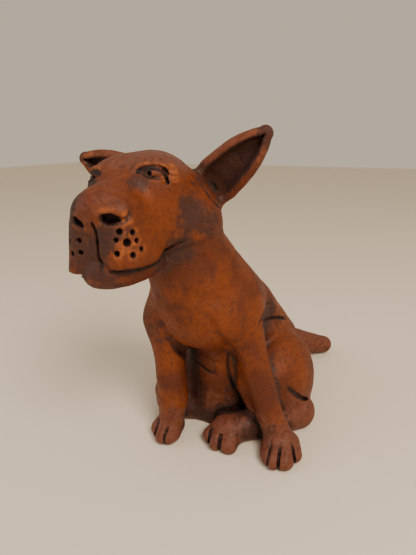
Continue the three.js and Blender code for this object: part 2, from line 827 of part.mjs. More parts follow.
// An eye: an almond socket, where two balls meet in a lens, and the eyeball that sits in it.
// Both are drawn in a frame on the skin that looks outwards and ahead.
function eye(hand, mass) {
  const { side, level, turnOut, droop } = pose.eye;
  const { halfLength, above, below, depth } = pose.socket;
  const { radii, sunk, outward, raised } = pose.eyeball;
  const [out, down] = [turnOut, droop].map((angle) => hand * THREE.MathUtils.degToRad(angle));
  const place = headMatrix.clone();
  place.multiply(new THREE.Matrix4().makeTranslation(
    hand * side,
    skinReach(mass, hand * side, level),
    level,
  ));
  place.multiply(new THREE.Matrix4().makeRotationZ(-out));
  place.multiply(new THREE.Matrix4().makeRotationY(down));
  const eyeball = new THREE.SphereGeometry(1, 14, 10).scale(...radii);
  eyeball.translate(hand * outward, -radii[1] - sunk, raised);
  const opening = place.clone().multiply(new THREE.Matrix4().makeScale(1, depth / halfLength, 1));
  const [upper, lower] = [above, -below].map((rise) => {
    const lidRadius = (halfLength ** 2 + rise ** 2) / (2 * Math.abs(rise));
    const lid = new THREE.SphereGeometry(lidRadius, 22, 15);
    return solidOf(lid.translate(0, 0, rise - Math.sign(rise) * lidRadius), opening);
  });
  return { socket: upper.intersect(lower), eyeball: solidOf(eyeball, place) };
}

// The whisker pits: the side, the reach and the level near each one's mouth, and its radius.
const whiskerPitPlaces = [
  [24.2, 74.4, -10.6, 3.1], [21.1, 77.2, -3, 2.3], [26.3, 69.4, -4.8, 2.2], [27.5, 67.5, -10.7, 2],
  [28.8, 65.2, -17.1, 2.1], [26.4, 72.5, -19.7, 2.3], [18.4, 80.1, -17.2, 2.2],
  [18.8, 79.3, -8.1, 1.9], [-11.6, 81.1, -8.6, 2.3], [-12, 81, -17.1, 2.1], [-20.8, 78, -9.3, 2.2],
  [-19.5, 79.5, -17.8, 2.2], [-27.5, 69, -12, 2.3],
];

// The direction straight out of a mass's skin at a point.
function outwardAt(mass, { x, y, z }) {
  const step = 0.5;
  return new THREE.Vector3(
    mass(x + step, y, z) - mass(x - step, y, z),
    mass(x, y + step, z) - mass(x, y - step, z),
    mass(x, y, z + step) - mass(x, y, z - step),
  ).normalize();
}

// Each pit is a tapered hole that goes straight into the skin.
function whiskerPits(mass) {
  return whiskerPitPlaces.map(([side, reach, level, radius]) => {
    const mouth = new THREE.Vector3(side, reach, level);
    const outward = outwardAt(mass, mouth);
    mouth.addScaledVector(outward, -mass(side, reach, level));
    const cone = new THREE.CylinderGeometry(radius, radius * 0.6, pose.whiskerPitDepth * 2, 6);
    cone.applyQuaternion(new THREE.Quaternion().setFromUnitVectors(new THREE.Vector3(0, 1, 0), outward));
    cone.translate(mouth.x, mouth.y, mouth.z);
    return solidOf(cone, headMatrix);
  });
}

function sculpted() {
  const { low, high } = room;
  const counts = low.map((n, axis) => Math.ceil((high[axis] - n) / sampleStep) + 1);
  const form = dogForm();
  const justBelowTable = (x, y, z) => Math.max(form(x, y, z), -4 - z);
  const values = sampleForm(justBelowTable, low, counts, sampleStep);
  return meshSolid(simplify(marchCubes(values, low, counts, sampleStep), faceBudget));
}

function dogGeometry() {
  const skin = bareHead();
  const eyes = [eye(1, skin), eye(-1, skin)];
  let dog = sculpted();
  for (const { socket, eyeball } of eyes) {
    dog = dog.subtract(socket).add(eyeball);
  }
  for (const pit of whiskerPits(skin)) {
    dog = dog.subtract(pit);
  }
  const { vertProperties, triVerts } = dog.subtract(blockBelowTable()).getMesh();
  const geometry = new THREE.BufferGeometry();
  geometry.setAttribute("position", new THREE.BufferAttribute(Float32Array.from(vertProperties), 3));
  geometry.setIndex([...triVerts]);
  geometry.scale(unit, unit, unit);
  geometry.computeBoundingBox();
  const { min, max } = geometry.boundingBox;
  geometry.translate(-(min.x + max.x) / 2, -(min.y + max.y) / 2, -min.z);
  geometry.computeVertexNormals();
  return geometry;
}

const terracotta = new THREE.MeshStandardMaterial({ color: 0x9a4e26, roughness: 0.72, metalness: 0 });

const dog = new THREE.Mesh(dogGeometry(), terracotta);
dog.name = "dog";

const sculpture = new THREE.Group();
sculpture.add(dog);

export default sculpture;
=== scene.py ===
import math

import bpy
import numpy as np
import openvdb
from mathutils import Matrix, Vector, noise


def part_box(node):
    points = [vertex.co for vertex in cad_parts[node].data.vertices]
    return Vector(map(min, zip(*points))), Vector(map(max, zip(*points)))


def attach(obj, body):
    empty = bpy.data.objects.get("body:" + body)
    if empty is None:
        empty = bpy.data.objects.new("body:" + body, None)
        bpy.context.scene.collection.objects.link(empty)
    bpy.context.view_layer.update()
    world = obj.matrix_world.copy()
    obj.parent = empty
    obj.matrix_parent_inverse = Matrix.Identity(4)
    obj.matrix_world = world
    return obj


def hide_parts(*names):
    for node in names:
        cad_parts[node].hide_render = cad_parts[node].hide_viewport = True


# A seated dog modelled by hand in terracotta. The clay is drawn as a signed distance: masses
# melted together, then hollows and creases cut in. It is meshed finely, so that the lids, the
# folds and the tool marks are in the surface itself. Sizes are in three-hundredths of the dog's
# height, which are millimetres, in the modeller's own frame: +X is the dog's left, the dog faces
# -Y, and the table is at z = 0. The finished mesh is moved into the frame of the solid.

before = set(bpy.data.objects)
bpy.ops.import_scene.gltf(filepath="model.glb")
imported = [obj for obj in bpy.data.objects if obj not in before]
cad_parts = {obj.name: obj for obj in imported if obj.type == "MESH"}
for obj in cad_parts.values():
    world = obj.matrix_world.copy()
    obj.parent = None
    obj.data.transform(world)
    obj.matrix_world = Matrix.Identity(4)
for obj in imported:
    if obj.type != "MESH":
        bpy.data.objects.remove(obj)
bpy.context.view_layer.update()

SAMPLE_STEP = 1.0
BLOCK = 8
FACE_LIMIT = 190000

SKULL_AT = (-47, -50, 232)
HEAD_TURN_LEFT = 3.5
HEAD_TILT_LEFT_UP = 4.5
MUZZLE_LENGTH = 81
MUZZLE_HALF_WIDTH = 26
MUZZLE_TOP = 20
LIP = -32


# Masses: each is a function of points, one a row, that gives their distances, negative inside.

def length_of(rows):
    return np.sqrt(np.einsum("ij,ij->i", rows, rows))


def turn_matrix(*angles):
    """Turns in degrees about X, Y and Z as one matrix, the turn about Z made first."""
    turned = np.eye(3)
    for axis, angle in enumerate(np.radians(angles)):
        first, second = (axis + 1) % 3, (axis + 2) % 3
        turn = np.eye(3)
        turn[first, first] = turn[second, second] = math.cos(angle)
        turn[second, first] = math.sin(angle)
        turn[first, second] = -math.sin(angle)
        turned = turned @ turn
    return turned.astype(np.float32)


def ball(centre, radii, turn=(0, 0, 0)):
    centre = np.array(centre, np.float32)
    radii = np.array(radii, np.float32)
    facing = turn_matrix(*turn)

    def distance(points):
        local = (points - centre) @ facing
        near = length_of(local / radii)
        slope = length_of(local / radii ** 2)
        return near * (near - 1) / np.maximum(slope, 1e-5)
    return distance


def limb(start, start_radius, end, end_radius):
    start = np.array(start, np.float32)
    along = np.array(end, np.float32) - start
    square = float(along @ along)

    def distance(points):
        offset = points - start
        share = np.clip(offset @ along / square, 0, 1)
        gap = length_of(offset - share[:, None] * along)
        return gap - start_radius - share * (end_radius - start_radius)
    return distance


def limb_chain(*stations):
    bars = [limb(*start, *end) for start, end in zip(stations, stations[1:])]
    return melt(2, *bars)


def rounded_block(centre, half, edge):
    centre = np.array(centre, np.float32)
    inner = np.array(half, np.float32) - edge

    def distance(points):
        outward = np.abs(points - centre) - inner
        corner = length_of(np.maximum(outward, 0))
        return corner + np.minimum(outward.max(axis=1), 0) - edge
    return distance


def drum(centre, radii, half_height, edge):
    """An upright drum: an ellipse in plan, with its top and bottom edges rounded."""
    centre = np.array(centre, np.float32)
    radii = np.array(radii, np.float32)

    def distance(points):
        local = points - centre
        near = length_of(local[:, :2] / radii)
        slope = length_of(local[:, :2] / radii ** 2)
        outward = near * (near - 1) / np.maximum(slope, 1e-5) + edge
        upward = np.abs(local[:, 2]) - half_height + edge
        corner = np.hypot(np.maximum(outward, 0), np.maximum(upward, 0))
        return corner + np.minimum(np.maximum(outward, upward), 0) - edge
    return distance


# Joins and cuts between masses, with a fillet of the given size.

def melt_pair(first, second, fillet):
    overlap = np.maximum(fillet - np.abs(first - second), 0) / fillet
    return np.minimum(first, second) - overlap * overlap * fillet / 4


def melt(fillet, *masses):
    def distance(points):
        nearest = masses[0](points)
        for mass in masses[1:]:
            nearest = melt_pair(nearest, mass(points), fillet)
        return nearest
    return distance


def carve(fillet, mass, *cutters):
    def distance(points):
        left = mass(points)
        for cutter in cutters:
            left = -melt_pair(-left, cutter(points), fillet)
        return left
    return distance


def crease(view, path, width, depth, span=(-1, 1), run_out=0.2):
    """A crease pressed in along a path.

    view gives the places to measure from the path, on a plane or in space, and how far each is
    pushed along the third axis. A crease of negative depth is a raised fold. It runs out to
    nothing at both ends of its path.
    """
    path = np.array(path, np.float32)
    steps = np.diff(path, axis=0)
    lengths = length_of(steps)
    starts = np.concatenate([[0], np.cumsum(lengths)[:-1]])
    total = float(lengths.sum())
    low = path.min(axis=0) - width
    high = path.max(axis=0) + width
    near, far = span

    def pressed_depth(points):
        places, along = view(points)
        boxed = ((places > low) & (places < high)).all(axis=1)
        inside = np.flatnonzero(boxed & (along > near) & (along < far))
        places = places[inside]
        deepest = np.zeros(len(inside), np.float32)
        for corner, step, length, start in zip(path, steps, lengths, starts):
            offset = places - corner
            share = np.clip(offset @ step / length ** 2, 0, 1)
            fall = np.maximum(1 - length_of(offset - share[:, None] * step) / width, 0)
            place = (start + share * length) / total
            fade = np.clip(np.minimum(place, 1 - place) / run_out, 0, 1)
            deepest = np.maximum(deepest, fade * fall * fall * (3 - 2 * fall))
        result = np.zeros(len(points), np.float32)
        result[inside] = depth * deepest
        return result
    return pressed_depth


def pressed(mass, *creases):
    def distance(points):
        result = mass(points)
        close = np.flatnonzero(np.abs(result) < 20)
        for cut in creases:
            result[close] += cut(points[close])
        return result
    return distance


def in_space(points):
    return points, np.zeros(len(points), np.float32)


def on_either_side(points):
    return np.abs(points * (1, 0, 0)) + points * (0, 1, 1), np.zeros(len(points), np.float32)


def from_above(points):
    return points[:, (0, 1)], points[:, 2]


def from_front(points):
    return points[:, (0, 2)], points[:, 1]


def face_on(points):
    """The head from the front, with one side folded over onto the other."""
    return np.stack([np.abs(points[:, 0]), points[:, 2]], axis=1), points[:, 1]


def from_side(points):
    return points[:, (1, 2)], points[:, 0]


# The head, in a frame of its own: side to the dog's left, reach to its nose, level upwards.

def head_axes():
    turn = math.radians(HEAD_TURN_LEFT)
    tilt = math.radians(HEAD_TILT_LEFT_UP)
    ahead = np.array([math.sin(turn), -math.cos(turn), 0])
    flat_side = np.array([math.cos(turn), math.sin(turn), 0])
    up = np.array([0, 0, 1])
    side = flat_side * math.cos(tilt) + up * math.sin(tilt)
    level = up * math.cos(tilt) - flat_side * math.sin(tilt)
    return np.stack([side, ahead, level], axis=1).astype(np.float32)


HEAD_AXES = head_axes()


def head_frame(mass):
    return lambda points: mass((points - np.array(SKULL_AT, np.float32)) @ HEAD_AXES)


def mirrored(mass):
    def distance(points):
        folded = points.copy()
        folded[:, 0] = np.abs(folded[:, 0])
        return mass(folded)
    return distance


PAD_LEFT = 11.5
PAD_RIGHT = -13
PAD_REACH = MUZZLE_LENGTH - 25
PAD_RADII = (MUZZLE_HALF_WIDTH - 10, 25)
PAD_HALF_HEIGHT = 22


def flew(side, drop, lean):
    """A hanging lip: an upright drum that leans outwards towards its lower edge."""
    level = LIP + PAD_HALF_HEIGHT - drop
    upright = drum((abs(side), PAD_REACH, level), PAD_RADII, PAD_HALF_HEIGHT, 7)
    hand = math.copysign(1, side)

    def distance(points):
        leaning = points.copy()
        leaning[:, 0] = hand * points[:, 0] + lean * points[:, 2]
        return upright(leaning)
    return distance


def bare_head():
    skull = ball((0, 0, 8), (40, 44, 40))
    brow = mirrored(ball((18, 22, 23), (21, 20, 20)))
    cheek = mirrored(ball((21, -14, -10), (30, 32, 31)))
    snout_root = ball((0, 24, -2), (30, 38, 30))
    snout = rounded_block(
        (0, MUZZLE_LENGTH / 2 - 3, (MUZZLE_TOP + LIP) / 2),
        (MUZZLE_HALF_WIDTH - 3, MUZZLE_LENGTH / 2 - 3, (MUZZLE_TOP - LIP) / 2),
        10,
    )
    bridge = ball((0, 46, 14), (19, 36, 16))
    bulb = ball((1, 66, 9), (22, 17, 13))
    wing = ball((19, 67, 9), (8, 9, 7.5))
    between_pads = ball((0, 60, -12), (13, 18, 24))
    back = melt(16, skull, cheek, snout_root, brow)
    front = melt(8, bulb, wing, between_pads, flew(PAD_LEFT, 0, 0.13), flew(PAD_RIGHT, 5, 0.24))
    return melt(8, back, bridge, snout, front)


def nostrils(mass):
    left = limb_chain(
        ((13.5, 82, 6.4), 3.2), ((17, 80.5, 5.6), 3.6), ((21, 78.5, 4.8), 2.4), ((24.5, 75.5, 3.8), 1.5),
        ((27.4, 72, 6), 1.4), ((27.7, 71, 9.6), 0.9),
    )
    left_inside = limb((13, 76, 6), 4, (20, 72, 5), 2.8)
    right = limb_chain(
        ((-13.7, 81, 6.4), 1.8), ((-10.1, 82, 5), 2.6), ((-6.8, 82.5, 3), 2.4), ((-4.7, 82.5, 0), 1.1),
    )
    right_inside = limb((-11, 78, 6), 2.4, (-6, 79, 3), 2.2)
    return carve(1.2, mass, melt(1, left, left_inside), melt(1, right, right_inside))


MOUTH = np.array([
    (84, -31), (74, -31), (66, -32), (54, -33.5), (46, -34), (37, -32.6),
    (28, -29.5), (20, -26.8), (15.7, -24.1), (10, -22),
])


def face_lines():
    """The thin lines of the face, where the wash stays."""
    philtrum = [
        (3.6, 6), (4.6, -1), (3.6, -8), (2.5, -14), (1.2, -19.5), (2, -24), (3.6, -28), (4.2, -32),
    ]
    lid = [
        (15, 42, 33), (17, 41.6, 33.3), (20.3, 40, 34.6), (24.6, 38.1, 35), (28.3, 36, 34.8),
        (31.2, 34.2, 33.9), (33.9, 32.2, 32.5), (35.9, 29.9, 31.6), (38, 27, 30.2),
    ]
    eye_tail = [(30.8, 34.4), (31.8, 33), (33.2, 30.5), (34.3, 27.7), (34.9, 25), (35.6, 22)]
    return [
        crease(from_front, philtrum, 1.9, 4, (55, 100), 0.1),
        crease(from_side, MOUTH, 2.4, 4, (8, 60), 0.15),
        crease(from_side, MOUTH - (0, 3.5), 2.6, 4, (-60, -8), 0.15),
        crease(on_either_side, lid, 3, 6, run_out=0.12),
        crease(face_on, eye_tail, 1.7, 4, (20, 60), 0.15),
    ]


def face_folds():
    lip_gap = [(1.2, -22), (3, -27), (4.5, -33)]
    lid_fold = [
        (13, 41.5, 35.5), (16, 40.5, 36.6), (20.3, 38.5, 38.2), (24.6, 36.8, 38.8), (28.3, 34.8, 38.4),
        (31.2, 33.2, 37.5), (33.9, 31.4, 36.2), (37, 28, 34.4),
    ]
    wing_back = [(28, 68, 3), (27, 67.5, 9.9), (25, 66.4, 14.4), (21, 67.1, 18.2), (17.1, 67.7, 21.3)]
    nose_wrinkle = [(-14, 78, 14.5), (-12.6, 78.9, 16.4), (-7.6, 80.2, 18.4), (-3, 80.4, 20)]
    return [
        crease(from_front, lip_gap, 3.4, 3.4, (50, 100)),
        crease(from_side, MOUTH, 5, 1.5, (8, 60), 0.1),
        crease(on_either_side, lid_fold, 4.6, -1.8),
        crease(on_either_side, wing_back, 5, 0.8),
        crease(in_space, nose_wrinkle, 2.2, 0.8),
    ]


def head():
    jaw = drum((-3, 44, -34), (27, 38), 11.5, 10.5)
    return melt(1.5, pressed(nostrils(bare_head()), *face_lines(), *face_folds()), jaw)


# The eyes: each has a frame of its own on the skin, looking outwards and ahead.

EYE_SIDE = 26.3
EYE_LEVEL = 30.4
EYE_TURN_OUT = 24
EYE_DROOP = 19
SOCKET_HALF_LENGTH = 10
SOCKET_ABOVE = 5.4
SOCKET_BELOW = 2.6
SOCKET_DEPTH = 6.5
EYEBALL_RADII = (8.4, 5, 4.3)
EYEBALL_SUNK = 1.5
EYEBALL_OUTWARD = 2
EYEBALL_RAISED = 1
PUPIL_INWARD = 1
PUPIL_RADIUS = 1.5


def skin_reach(mass, side, level):
    """How far ahead the skin of a mass lies at a place on its front, found by halving."""
    inside, outside = 0.0, 2.0 * MUZZLE_LENGTH
    while outside - inside > 0.01:
        middle = (inside + outside) / 2
        point = np.array([[side, middle, level]], np.float32)
        if mass(point)[0] < 0:
            inside = middle
        else:
            outside = middle
    return inside


def eye_frame(hand, mass):
    """A function that takes points in the head's frame to the frame of one eye."""
    at = np.array([hand * EYE_SIDE, skin_reach(mass, hand * EYE_SIDE, EYE_LEVEL), EYE_LEVEL])
    axes = turn_matrix(0, 0, -hand * EYE_TURN_OUT) @ turn_matrix(0, hand * EYE_DROOP, 0)
    return lambda points: (points - at.astype(np.float32)) @ axes


def lid_edge(height, way):
    """A ball whose edge is the arc of a lid, of the given height at the middle of the eye."""
    radius = (SOCKET_HALF_LENGTH ** 2 + height ** 2) / (2 * height)
    squash = SOCKET_DEPTH / SOCKET_HALF_LENGTH
    return ball((0, 0, way * (height - radius)), (radius, radius * squash, radius))


def socket(points):
    return np.maximum(lid_edge(SOCKET_ABOVE, 1)(points), lid_edge(SOCKET_BELOW, -1)(points))


def with_eyes(mass):
    skin = bare_head()

    def eyed(hand):
        deep = -EYEBALL_RADII[1] - EYEBALL_SUNK
        eyeball = ball((hand * EYEBALL_OUTWARD, deep, EYEBALL_RAISED), EYEBALL_RADII)
        side = -hand * PUPIL_INWARD
        pupil = limb((side, 1, 0.5), PUPIL_RADIUS, (side, -5, 0.5), PUPIL_RADIUS)
        return eye_frame(hand, skin), carve(0.6, eyeball, pupil)

    eyes = [eyed(hand) for hand in (1, -1)]

    def distance(points):
        result = mass(points)
        near = np.flatnonzero((points[:, 1] > 10) & (points[:, 2] > 10))
        for to_eye, eyeball in eyes:
            local = to_eye(points[near])
            hollowed = -melt_pair(-result[near], socket(local), 0.8)
            result[near] = melt_pair(hollowed, eyeball(local), 0.3)
        return result
    return distance


# The whisker pits: one in the middle of each pad and a ring round it.

PIT_DEPTH = 5
PITS = (
    (24.2, 74.4, -10.6, 3.1), (21.1, 77.2, -3, 2.3), (26.3, 69.4, -4.8, 2.2), (27.5, 67.5, -10.7, 2),
    (28.8, 65.2, -17.1, 2.1), (26.4, 72.5, -19.7, 2.3), (18.4, 80.1, -17.2, 2.2),
    (18.8, 79.3, -8.1, 1.9), (-11.6, 81.1, -8.6, 2.3), (-12, 81, -17.1, 2.1),
    (-20.8, 78, -9.3, 2.2), (-19.5, 79.5, -17.8, 2.2), (-27.5, 69, -12, 2.3),
)


def outward_at(mass, point):
    """The direction straight out of a mass's skin at a point."""
    steps = np.eye(3, dtype=np.float32) * 0.5
    slope = mass(point + steps) - mass(point - steps)
    return slope / np.linalg.norm(slope)


def whisker_pits():
    skin = bare_head()
    pits = []
    for *place, radius in PITS:
        near = np.array(place, np.float32)
        outward = outward_at(skin, near)
        mouth = near - outward * skin(near[None])[0]
        pits.append(limb(mouth + outward, radius, mouth - outward * PIT_DEPTH, radius * 0.5))
    return melt(0.1, *pits)


# The ears: each a leaf of clay dished on its front, from its root on the skull to its tip.

EAR_WIDTH = 43
EAR_THICKNESS = 13
EAR_CUP = 5
EAR_RIM = 8
EAR_DISH = 8


EARS = (
    ((-16, -12, 246), (38, -5, 296), (0.25, -0.9, -0.1)),
    ((-74, -18, 248), (-136, -36, 274), (-0.25, -0.9, 0.1)),
)


def ear_view(root, tip, front):
    """A function to the places in an ear, along it, across it and out of its front; its length."""
    root = np.array(root, np.float32)
    along = np.array(tip, np.float32) - root
    reach = float(np.linalg.norm(along))
    along /= reach
    front = np.array(front, np.float32)
    front -= along * float(front @ along)
    front /= np.linalg.norm(front)
    axes = np.stack([along, np.cross(along, front), front], axis=1)
    return lambda points: ((points - root) @ axes).T, reach


def ear_half_width(share):
    taper = np.minimum(1, 0.85 + 0.8 * share) * (1 - 0.2 * share - 0.72 * share ** 4)
    return np.maximum(EAR_THICKNESS / 2, EAR_WIDTH / 2 * taper)


def cupped(share, across, half, outward):
    """How far out of the middle of a cupped leaf a place lies."""
    return outward + EAR_CUP * (1 - share) * np.maximum(0, 1 - (across / half) ** 2)


def ear(root, tip, front):
    to_ear, reach = ear_view(root, tip, front)
    round_edge = EAR_THICKNESS / 2

    def distance(points):
        a, s, d = to_ear(points)
        share = np.clip(a / reach, 0, 1)
        half = ear_half_width(share)
        depth = cupped(share, s, half, d)
        past = np.maximum(0, np.maximum(a - reach + round_edge, -a))
        beside = np.maximum(0, np.abs(s) - half + round_edge)
        leaf = np.sqrt(beside ** 2 + depth ** 2 + past ** 2) - round_edge
        inner = np.maximum(1, half - EAR_RIM)
        beyond = np.maximum(0, a - reach * 0.8)
        local = np.stack([s, depth - round_edge, beyond], axis=1)
        radii = np.stack([inner, np.full_like(inner, EAR_DISH), np.full_like(inner, EAR_DISH)], axis=1)
        near = length_of(local / radii)
        slope = length_of(local / radii ** 2)
        dish = near * (near - 1) / np.maximum(slope, 1e-5)
        return -melt_pair(-leaf, dish, 3)
    return distance


def ears():
    return melt(4, *[ear(*places) for places in EARS])


# The body from the neck down.

def trunk():
    chest = ball((-20, -16, 134), (44, 36, 36))
    spine = limb_chain(((-23, -8, 172), 35), ((-12, 42, 112), 43), ((-3, 90, 54), 48))
    neck = limb((-28, -22, 165), 38, (-38, -30, 222), 36)
    belly = limb((-18, 20, 92), 36, (-18, 26, 16), 34)
    seat = limb((-18, 26, 16), 34, (-5, 88, 26), 34)
    left_shoulder = ball((6, 2, 134), (27, 30, 36))
    right_shoulder = ball((-54, -14, 128), (25, 28, 36))
    return melt(14, spine, chest, neck, belly, seat, left_shoulder, right_shoulder)


def body_lines():
    """The thin lines of the body, where the wash stays."""
    belly_fold = [
        (-40, -6, 74), (-32.8, -11, 73.3), (-24.5, -13.4, 71), (-17.6, -13.6, 67.3), (-6, -11.5, 64),
    ]
    thigh = [
        (52, 8, 64), (55.7, 10.9, 59.6), (60, 14.6, 52.4), (63.8, 20.2, 45.1), (68, 30, 36),
        (72, 46, 25), (70, 60, 18),
    ]
    hock = [(55, 9, 24), (57.3, 11.6, 23), (61.4, 15.7, 20.5), (65.4, 20, 17.8), (68, 23, 15)]
    loin = [(18, 112), (25.1, 113.3), (34.2, 113.5), (44.6, 111.2), (56, 107.5), (72.4, 100.3), (84, 94)]
    flank = [(-14, 124), (-6, 129), (2, 132.5), (19.6, 132), (34.3, 131.1), (46, 128)]
    ear_fold = [
        (-8, -39, 253), (-4.8, -37.3, 249.8), (-1.7, -34.5, 244.9), (0.3, -31.5, 240.6),
        (1.3, -26.1, 236.2), (-0.4, -17.7, 232.9), (-2, -10, 231),
    ]
    knee = [
        (5, -9, 92), (4.2, -7.7, 84.5), (3.6, -7.1, 75.2), (4.8, -4.7, 62.9), (7.6, -0.9, 50),
        (12, 0, 40),
    ]
    return [
        crease(in_space, belly_fold, 3.4, 2.8),
        crease(in_space, thigh, 3.4, 3, run_out=0.25),
        crease(in_space, hock, 3, 1.6),
        crease(from_side, loin, 2.6, 3.4, (5, 70), 0.25),
        crease(from_side, flank, 2.4, 2.6, (5, 70)),
        crease(in_space, ear_fold, 3.4, 3),
        crease(in_space, knee, 3.4, 2.2),
    ]


def body_folds():
    left_armpit = [
        (-2, -50, 149), (4.3, -46, 137.8), (6.4, -44.6, 131), (9.9, -37.9, 119.2),
        (11.6, -26.8, 108.4), (14.1, -21.3, 100), (16, -18, 92),
    ]
    right_armpit = [
        (-54, -46, 140), (-51.4, -46.8, 131.7), (-47.1, -47.1, 126.6), (-42.5, -44.8, 116.4),
        (-38.2, -38.5, 104.2), (-36.3, -27.9, 91), (-36, -22, 80),
    ]
    upper_fold = [(-34, -13, 91), (-30.7, -14.1, 88), (-16.7, -15, 80.6), (-4.9, -12.2, 77.8), (2, -9, 79)]
    flank_hollow = [(34, -2, 127), (30, 18, 123), (29, 32, 121), (30, 50, 117)]
    jowl = [(-10, 211), (-18, 211), (-39.5, 208.5), (-51, 206), (-58, 204), (-66, 201.5), (-83, 200.7)]
    dewlap = [(-34, -61, 170), (-27, -60, 165.8), (-10.3, -55.7, 161.7), (5.7, -42.9, 158.2), (14, -34, 160)]
    return [
        crease(in_space, left_armpit, 6, 3.5),
        crease(in_space, right_armpit, 7, 3.5),
        crease(in_space, upper_fold, 4, 1.6),
        crease(in_space, flank_hollow, 13, 4),
        crease(from_side, [(8, 117), (30, 111), (58, 105)], 12, 2.5, (5, 70)),
        crease(from_side, [(2, 56), (12, 50), (24, 42), (42, 28)], 6, 5, (-120, -50)),
        crease(from_side, jowl, 8, 1.8, (-130, 60)),
        crease(in_space, dewlap, 10, 1.5),
    ]


def front_legs():
    left = limb_chain(
        ((15, -4, 124), 17.5), ((30, -8, 90), 14), ((49, -12, 38), 12.5), ((61, -14, 15), 13.5),
    )
    right = limb_chain(
        ((-59, -25, 120), 18.5), ((-50, -30, 84), 15), ((-44.5, -35, 40), 15), ((-47, -38, 14), 12),
    )
    return melt(12, left, right)


TOE_WIDENING = 1


def paw(palm, toes):
    """A paw: its palm and its toes, each from its root in the palm to its tip, of a given radius."""
    digits = [limb(root, radius + TOE_WIDENING, tip, radius) for root, tip, radius in toes]
    return melt(5, palm, melt(5, *digits))


def front_paws():
    left = paw(ball((61, -17, 9), (17, 18, 11)), [
        ((57, -16, 12), (55.5, -31, 7.5), 8),
        ((60, -18, 13), (62, -36, 8), 8.5),
        ((66, -16, 13), (72, -32, 8), 8.5),
        ((70, -8, 11), (77, -20, 8), 7.5),
    ])
    right = paw(ball((-49, -39, 9), (14, 17, 11)), [
        ((-53, -36, 11), (-57, -46, 8), 7.5),
        ((-49, -40, 12), (-47, -53, 8), 8.5),
        ((-45, -40, 12), (-40.5, -52, 8), 7.5),
        ((-42, -36, 11), (-38, -46, 7), 6),
    ])
    slits = [
        [(57, -24), (59.5, -46)], [(65.5, -25), (69.5, -46)], [(72, -16), (81, -31)],
        [(-56, -42), (-52, -62)], [(-43, -42), (-41, -62)],
    ]
    cuts = [crease(from_above, slit, 2, 2.8, (-4, 22), 0.25) for slit in slits]
    return pressed(melt(3, left, right), *cuts)


def haunches():
    left_thigh = ball((37, 51, 44), (36, 50, 49), (0, -9, 0))
    left_knee = melt(
        6,
        limb((36, 40, 56), 28, (27, 12, 56), 17),
        limb_chain(((20, 2, 78), 11), ((25, 0, 58), 14.5), ((33, 2, 38), 14)),
    )
    right_thigh = ball((-52, 48, 45), (36, 50, 49), (0, 9, 0))
    right_knee = limb((-54, 40, 52), 28, (-64, -7, 29), 19)
    return melt(8, melt(10, left_thigh, left_knee), melt(10, right_thigh, right_knee))


def hind_feet():
    left = limb_chain(((62, 38, 14), 19), ((33, 1, 14), 16), ((12, -20, 13), 14))
    right = limb_chain(((-72, 44, 13), 15), ((-68, -3, 14), 17), ((-52, -6, 12), 14), ((-34, 1, 12), 14))
    toes = melt(
        4,
        limb((3, -20, 13), 11, (-4, -31, 8), 8.5),
        limb((8, -22, 13), 11, (4.5, -37, 8), 9),
        limb((15, -22, 13), 11, (17, -36, 8), 9),
    )
    slits = [[(-4, -28), (0, -46)], [(8, -28), (11.5, -48)]]
    cuts = [crease(from_above, slit, 2.2, 2.6, (-4, 18), 0.2) for slit in slits]
    return pressed(melt(7, left, right, toes), *cuts)


def tail():
    return limb_chain(((-4, 128, 30), 22), ((20, 174, 23.5), 17), ((51, 203, 12.5), 11.5))


def dog_form():
    face = head_frame(carve(0.8, with_eyes(head()), whisker_pits()))
    upper = melt(8, melt(12, trunk(), face), ears())
    seated = melt(5, melt(6, melt(12, upper, front_legs()), haunches()), hind_feet())
    whole = melt(8, melt(5, pressed(seated, *body_lines(), *body_folds()), front_paws()), tail())
    return lambda points: np.maximum(whole(points), -points[:, 2])


# From the distances to a mesh.

def sample_form(form, low, counts):
    """The distances on a grid, finely only in the blocks that the surface may cross."""
    blocks = [math.ceil(count / BLOCK) for count in counts]
    corners = np.stack(np.meshgrid(*[np.arange(n) * BLOCK for n in blocks], indexing="ij"), axis=-1)
    corners = corners.reshape(-1, 3)
    middles = (low + (corners + (BLOCK - 1) / 2) * SAMPLE_STEP).astype(np.float32)
    coarse = form(middles)
    values = coarse.reshape(blocks)
    for axis in range(3):
        values = np.repeat(values, BLOCK, axis=axis)
    values = values.astype(np.float32)
    reach = SAMPLE_STEP * BLOCK * 0.87 * 1.8
    near = corners[np.abs(coarse) < reach]
    inner = np.stack(np.meshgrid(*[np.arange(BLOCK)] * 3, indexing="ij"), axis=-1).reshape(-1, 3)
    for batch in np.array_split(near, max(1, len(near) // 300)):
        places = (batch[:, None, :] + inner).reshape(-1, 3)
        distances = form((low + places * SAMPLE_STEP).astype(np.float32))
        values[places[:, 0], places[:, 1], places[:, 2]] = distances
    return values


def mesh_of(form, low, high):
    low = np.array(low, float)
    counts = np.ceil((np.array(high) - low) / SAMPLE_STEP).astype(int) + 1
    grid = openvdb.FloatGrid(SAMPLE_STEP * BLOCK)
    grid.copyFromArray(sample_form(form, low, counts))
    points, quads = grid.convertToQuads()
    return points * SAMPLE_STEP + low, quads


def clay_object(name, points, quads):
    mesh = bpy.data.meshes.new(name)
    mesh.from_pydata(points.tolist(), [], quads.tolist())
    mesh.validate()
    piece = bpy.data.objects.new(name, mesh)
    bpy.context.scene.collection.objects.link(piece)
    return piece


def apply_modifiers(piece):
    """The piece's modifiers become part of its mesh."""
    evaluated = piece.evaluated_get(bpy.context.evaluated_depsgraph_get())
    finished = bpy.data.meshes.new_from_object(evaluated)
    piece.modifiers.clear()
    piece.data = finished


def thin_out(piece):
    triangles = 2 * len(piece.data.polygons)
    modifier = piece.modifiers.new("fewer faces", "DECIMATE")
    modifier.ratio = min(1, FACE_LIMIT / triangles)
    apply_modifiers(piece)


